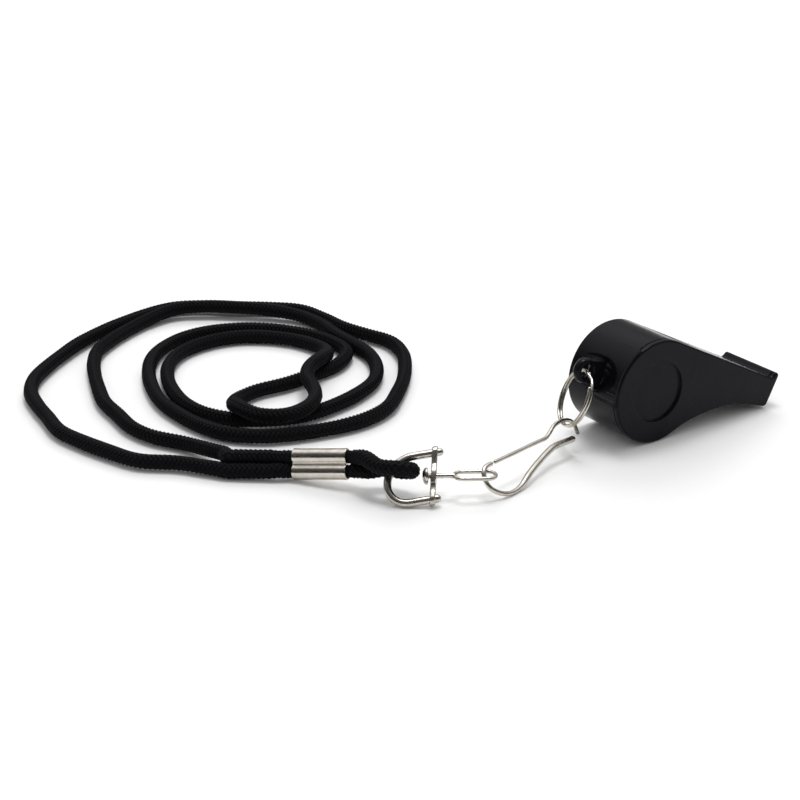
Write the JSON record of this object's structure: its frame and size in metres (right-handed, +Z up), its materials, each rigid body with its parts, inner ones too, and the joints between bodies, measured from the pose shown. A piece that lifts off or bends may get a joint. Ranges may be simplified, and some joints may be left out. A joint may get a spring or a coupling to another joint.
{
  "type": "training whistle",
  "caption": "Ball whistle with side cover and ring lug, on a split ring, wire snap hook, swivel, D-ring, crimp ferrule and long looped cord laid in a coil",
  "frame": {"origin": "centre of the footprint on the floor under the object as it lies at rest", "axes": "+X runs from the coil to the whistle along the longest extent, +Y away from the ferrule side, +Z up"},
  "size_m": [0.1876, 0.1264, 0.0255],
  "materials": {
    "whistle_body": "glossy moulded black plastic",
    "whistle_side_cover": "glossy moulded black plastic",
    "whistle_pea": "cork, matte",
    "split_ring": "nickel plated spring steel wire",
    "snap_hook": "nickel plated wire",
    "snap_hook_spring": "nickel plated wire",
    "swivel_eye": "nickel plated wire",
    "d_ring_bow": "nickel plated wire",
    "d_ring_bar": "nickel plated strip",
    "ferrule": "nickel plated crimped sleeve",
    "cord_coil": "braided black cord",
    "cord_run_a": "braided black cord",
    "cord_run_b": "braided black cord",
    "cord_tail": "braided black cord"
  },
  "bodies": {
    "coil": {"cord_coil": "cord_coil"},
    "run": {"cord_run_a": "cord_run_a", "cord_run_b": "cord_run_b"},
    "tail": {"cord_tail": "cord_tail", "ferrule": "ferrule"},
    "d_ring": {"d_ring_bow": "d_ring_bow", "d_ring_bar": "d_ring_bar"},
    "swivel": {"swivel_eye": "swivel_eye"},
    "hook": {"snap_hook": "snap_hook"},
    "spring": {"snap_hook_spring": "snap_hook_spring"},
    "ring": {"split_ring": "split_ring"},
    "whistle": {"whistle_body": "whistle_body", "whistle_side_cover": "whistle_side_cover"},
    "pea": {"whistle_pea": "whistle_pea"}
  },
  "joints": [
    {"name": "cord_swing", "type": "hinge", "parent": "coil", "child": "run", "pos_m": [-0.03561, -0.04589, 0.00309], "axis": [0, 0, 1], "range_deg": [-22, 2]},
    {"name": "cord_lift", "type": "hinge", "parent": "run", "child": "tail", "pos_m": [-0.02821, -0.04639, 0.00324], "axis": [-0.0674, -0.9977, 0], "range_deg": [0, 30]},
    {"name": "d_ring_pivot", "type": "hinge", "parent": "tail", "child": "d_ring", "pos_m": [-0.00124, -0.05629, 0.0065], "axis": [0.5588, 0.5679, 0.6043], "range_deg": [-35, 35]},
    {"name": "swivel_spin", "type": "hinge", "parent": "d_ring", "child": "swivel", "pos_m": [0.00787, -0.05779, 0.0056], "axis": [0.9977, 0.0658, -0.014], "continuous": true},
    {"name": "hook_lift", "type": "hinge", "parent": "swivel", "child": "hook", "pos_m": [0.02174, -0.05688, 0.0054], "axis": [-0.0659, 0.9978, 0], "range_deg": [0, 18]},
    {"name": "hook_spring", "type": "hinge", "parent": "hook", "child": "spring", "pos_m": [0.02133, -0.05295, 0.00661], "axis": [0.5754, -0.5061, 0.6425], "range_deg": [0, 22], "stiffness_Nm_per_rad": 0.02},
    {"name": "ring_swing", "type": "hinge", "parent": "hook", "child": "ring", "pos_m": [0.03911, -0.03249, 0.00679], "axis": [0.3366, -0.9164, 0.2168], "range_deg": [-25, 30]},
    {"name": "whistle_swing", "type": "hinge", "parent": "ring", "child": "whistle", "pos_m": [0.04349, -0.02801, 0.01895], "axis": [-0.5764, 0.8171, 0], "range_deg": [-60, 16]},
    {"name": "pea_roll", "type": "hinge", "parent": "whistle", "child": "pea", "pos_m": [0.05599, -0.01919, 0.01277], "axis": [-0.5764, 0.8171, 0], "continuous": true}
  ]
}
